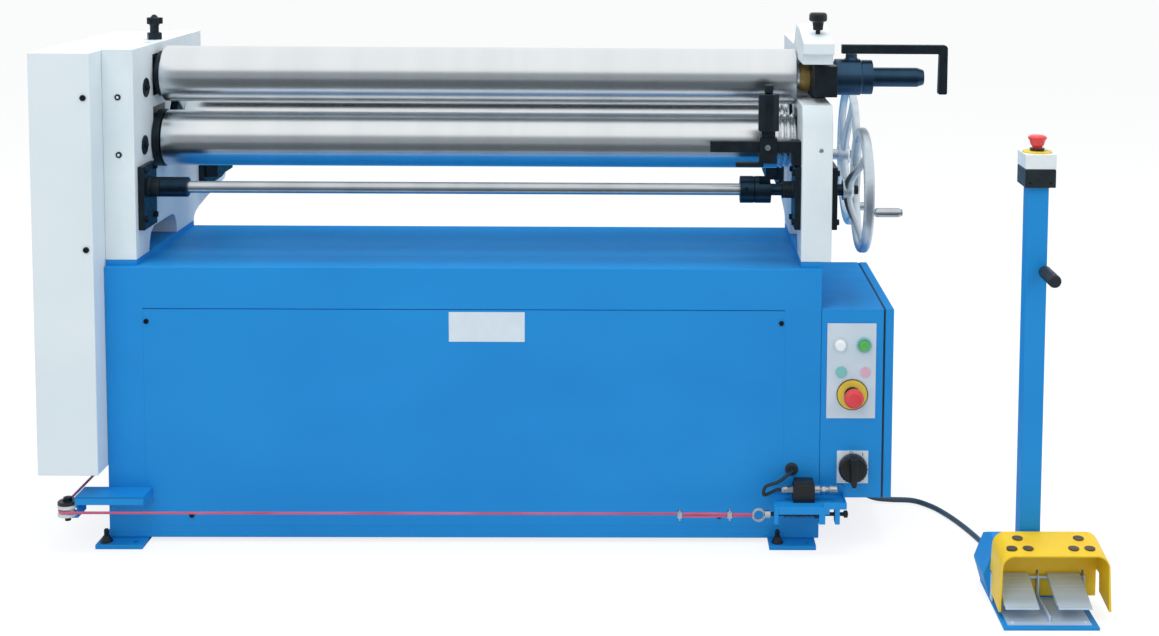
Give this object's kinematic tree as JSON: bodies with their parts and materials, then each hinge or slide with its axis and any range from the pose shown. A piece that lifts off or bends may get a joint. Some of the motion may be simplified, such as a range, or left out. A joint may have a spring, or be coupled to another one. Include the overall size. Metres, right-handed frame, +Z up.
{
  "type": "electric slip roll machine",
  "caption": "Floor-standing powered sheet roll with a cabinet, side frames, driven rolls, handwheels, a trip wire and a foot pedal station.",
  "frame": {"origin": "on the floor, at the centre of the part's bounding box", "axes": "+X along the rolls to the operator's right, +Y away from the operator, +Z up"},
  "size_m": [2.131, 1.141, 1.118],
  "materials": {
    "blue_paint": "smooth semi-gloss powder coat",
    "white_paint": "fine-grained semi-gloss paint over castings and sheet",
    "black_oxide": "blackened, lightly oiled steel",
    "ground_steel": "ground and polished",
    "gear_steel": "machined",
    "cast_aluminium": "satin casting with a polished rim",
    "black_plastic": "fine moulded grain",
    "yellow_guard": "semi-gloss moulding",
    "red_plastic": "semi-gloss moulding",
    "green_plastic": "semi-gloss moulding",
    "control_plate": "satin anodised",
    "zinc_plate": "bright zinc plate",
    "wire_sheath": "plastic sheath over wire rope",
    "cable_sheath": "smooth flexible sheath",
    "motor_paint": "satin enamel"
  },
  "bodies": {
    "machine": {"cabinet_shell": "blue_paint", "front_panel": "blue_paint", "foot_bar_left": "blue_paint", "foot_bar_right": "blue_paint", "frame_left": "white_paint", "frame_right": "white_paint", "gear_cover": "white_paint", "gear_motor": "motor_paint", "front_plate_left": "black_oxide", "front_plate_right": "black_oxide", "rear_gearbox_left": "black_oxide", "rear_gearbox_right": "black_oxide", "guide_bar": "black_oxide", "ebox_body": "blue_paint", "control_plate": "control_plate", "pulley_bracket": "blue_paint", "trip_wire": "wire_sheath", "switch_bracket": "blue_paint", "trip_spring": "black_oxide", "limit_switch": "black_plastic", "switch_lead": "black_plastic", "pedal_stand": "blue_paint", "pedal_guard": "yellow_guard", "stop_box": "white_paint", "pedal_cable": "cable_sheath"},
    "front_adjust": {"front_shaft": "ground_steel", "shaft_coupling": "black_oxide", "front_handwheel": "cast_aluminium"},
    "front_grip": {"front_grip": "ground_steel"},
    "rear_adjust": {"rear_shaft": "ground_steel", "rear_handwheel": "cast_aluminium"},
    "rear_grip": {"rear_grip": "ground_steel"},
    "lower_carriage": {"lower_block_left": "black_oxide", "lower_block_right": "black_oxide"},
    "lower_roll": {"lower_roll": "ground_steel"},
    "upper_carriage": {"pivot_block": "black_oxide", "bearing_block": "black_oxide"},
    "upper_roll": {"upper_roll": "ground_steel"},
    "release_sleeve": {"release_sleeve": "black_oxide"},
    "rear_carriage": {"rear_block_left": "black_oxide", "rear_block_right": "black_oxide"},
    "rear_roll": {"rear_roll": "ground_steel"},
    "lower_gear": {"lower_gear": "gear_steel"},
    "upper_gear": {"upper_gear": "gear_steel"},
    "idler_gear": {"idler_gear": "gear_steel"},
    "bull_gear": {"bull_gear": "gear_steel"},
    "motor_pinion": {"motor_pinion": "gear_steel"},
    "left_knob": {"left_knob": "black_oxide"},
    "clamp_knob": {"clamp_knob": "black_plastic"},
    "guide_slider": {"guide_slider": "black_oxide"},
    "guide_roller": {"guide_roller": "black_oxide"},
    "ebox_door": {"ebox_door": "blue_paint"},
    "start_button": {"start_button": "green_plastic"},
    "panel_stop": {"panel_stop": "red_plastic"},
    "switch_knob": {"switch_knob": "black_plastic"},
    "pulley_wheel": {"pulley_wheel": "black_plastic"},
    "trip_rod": {"trip_rod": "gear_steel"},
    "pedal_left": {"pedal_left": "zinc_plate"},
    "pedal_right": {"pedal_right": "zinc_plate"},
    "stop_cap": {"stop_cap": "red_plastic"}
  },
  "joints": [
    {"name": "front_handwheel_turn", "type": "hinge", "parent": "machine", "child": "front_adjust", "pos_m": [0.4585, -0.0885, 0.742], "axis": [1, 0, 0], "range_deg": [-360.01, 1755.01]},
    {"name": "front_grip_spin", "type": "hinge", "parent": "front_adjust", "child": "front_grip", "pos_m": [0.6685, -0.20783, 0.71663], "axis": [1, 0, 0], "continuous": true},
    {"name": "lower_roll_lift", "type": "slide", "parent": "machine", "child": "lower_carriage", "axis": [0, 0, 1], "range_m": [-0.004, 0.0195]},
    {"name": "lower_roll_spin", "type": "hinge", "parent": "lower_carriage", "child": "lower_roll", "pos_m": [-0.1815, 0.0215, 0.831], "axis": [1, 0, 0], "continuous": true},
    {"name": "rear_handwheel_turn", "type": "hinge", "parent": "machine", "child": "rear_adjust", "pos_m": [0.4585, 0.3995, 0.741], "axis": [1, 0, 0], "range_deg": [-4200.01, 3000.01]},
    {"name": "rear_grip_spin", "type": "hinge", "parent": "rear_adjust", "child": "rear_grip", "pos_m": [0.7085, 0.47508, 0.59885], "axis": [1, 0, 0], "continuous": true},
    {"name": "bend_roll_feed", "type": "slide", "parent": "machine", "child": "rear_carriage", "axis": [0, -0.8192, 0.5736], "range_m": [-0.07, 0.05]},
    {"name": "rear_roll_spin", "type": "hinge", "parent": "rear_carriage", "child": "rear_roll", "pos_m": [-0.1815, 0.1845, 0.838], "axis": [1, 0, 0], "continuous": true},
    {"name": "upper_roll_swing", "type": "hinge", "parent": "machine", "child": "upper_carriage", "pos_m": [-0.9005, 0.0215, 0.971], "axis": [0, 0, 1], "range_deg": [-2.4, 0]},
    {"name": "upper_roll_spin", "type": "hinge", "parent": "upper_carriage", "child": "upper_roll", "pos_m": [-0.1815, 0.0215, 0.971], "axis": [1, 0, 0], "continuous": true},
    {"name": "release_lever_turn", "type": "hinge", "parent": "upper_carriage", "child": "release_sleeve", "pos_m": [0.6285, 0.0215, 0.971], "axis": [1, 0, 0], "range_deg": [0, 90]},
    {"name": "lower_gear_spin", "type": "hinge", "parent": "machine", "child": "lower_gear", "pos_m": [-0.9885, 0.0215, 0.831], "axis": [1, 0, 0], "continuous": true},
    {"name": "upper_gear_spin", "type": "hinge", "parent": "machine", "child": "upper_gear", "pos_m": [-0.9885, 0.0215, 0.971], "axis": [1, 0, 0], "continuous": true},
    {"name": "idler_gear_spin", "type": "hinge", "parent": "machine", "child": "idler_gear", "pos_m": [-0.9885, 0.1505, 0.9167], "axis": [1, 0, 0], "continuous": true},
    {"name": "bull_gear_spin", "type": "hinge", "parent": "machine", "child": "bull_gear", "pos_m": [-0.9885, 0.1397, 0.702], "axis": [1, 0, 0], "continuous": true},
    {"name": "motor_pinion_spin", "type": "hinge", "parent": "machine", "child": "motor_pinion", "pos_m": [-0.9885, 0.1397, 0.527], "axis": [1, 0, 0], "continuous": true},
    {"name": "left_knob_turn", "type": "hinge", "parent": "machine", "child": "left_knob", "pos_m": [-0.9075, 0.0955, 1.05], "axis": [0, 0, 1], "continuous": true},
    {"name": "clamp_knob_turn", "type": "hinge", "parent": "machine", "child": "clamp_knob", "pos_m": [0.5415, -0.0805, 1.06], "axis": [0, 0, 1], "continuous": true},
    {"name": "guide_slide", "type": "slide", "parent": "machine", "child": "guide_slider", "axis": [1, 0, 0], "range_m": [-0.09, 0.028]},
    {"name": "guide_roller_spin", "type": "hinge", "parent": "guide_slider", "child": "guide_roller", "pos_m": [0.4365, -0.1205, 0.91], "axis": [0, 0, 1], "continuous": true},
    {"name": "box_door_swing", "type": "hinge", "parent": "machine", "child": "ebox_door", "pos_m": [0.6935, 0.2865, 0.3], "axis": [0, 0, 1], "range_deg": [0, 120]},
    {"name": "start_button_press", "type": "slide", "parent": "machine", "child": "start_button", "axis": [0, 1, 0], "range_m": [0, 0.004], "stiffness_N_per_m": 600, "springref_m": -0.002},
    {"name": "panel_stop_press", "type": "slide", "parent": "machine", "child": "panel_stop", "axis": [0, 1, 0], "range_m": [0, 0.006], "stiffness_N_per_m": 800, "springref_m": -0.002},
    {"name": "main_switch_turn", "type": "hinge", "parent": "machine", "child": "switch_knob", "pos_m": [0.6188, -0.1705, 0.165], "axis": [0, 1, 0], "range_deg": [0, 90]},
    {"name": "pulley_spin", "type": "hinge", "parent": "machine", "child": "pulley_wheel", "pos_m": [-1.0115, -0.20375, 0.086], "axis": [0, 0, 1], "continuous": true},
    {"name": "trip_rod_pull", "type": "slide", "parent": "machine", "child": "trip_rod", "axis": [1, 0, 0], "range_m": [-0.006, 0], "stiffness_N_per_m": 900, "springref_m": 0.004, "deforming": ["trip_spring"]},
    {"name": "left_pedal_press", "type": "hinge", "parent": "machine", "child": "pedal_left", "pos_m": [0.8935, -0.4515, 0.052], "axis": [1, 0, 0], "range_deg": [0, 8], "stiffness_Nm_per_rad": 1.2, "springref_deg": -22.92},
    {"name": "right_pedal_press", "type": "hinge", "parent": "machine", "child": "pedal_right", "pos_m": [0.9935, -0.4515, 0.052], "axis": [1, 0, 0], "range_deg": [0, 8], "stiffness_Nm_per_rad": 1.2, "springref_deg": -22.92},
    {"name": "stop_cap_press", "type": "slide", "parent": "machine", "child": "stop_cap", "axis": [0, 0, -1], "range_m": [0, 0.005], "stiffness_N_per_m": 900, "springref_m": -0.002}
  ],
  "couplings": [
    {"joint": "front_handwheel_turn", "follows": "lower_roll_lift", "rad_per_m": 1570.8},
    {"joint": "rear_handwheel_turn", "follows": "bend_roll_feed", "rad_per_m": 1047.2},
    {"joint": "upper_roll_spin", "follows": "lower_roll_spin", "ratio": -1},
    {"joint": "lower_gear_spin", "follows": "lower_roll_spin", "ratio": 1},
    {"joint": "upper_gear_spin", "follows": "lower_roll_spin", "ratio": -1},
    {"joint": "bull_gear_spin", "follows": "lower_roll_spin", "ratio": -0.4},
    {"joint": "idler_gear_spin", "follows": "lower_roll_spin", "ratio": 0.55556},
    {"joint": "motor_pinion_spin", "follows": "lower_roll_spin", "ratio": 1}
  ]
}
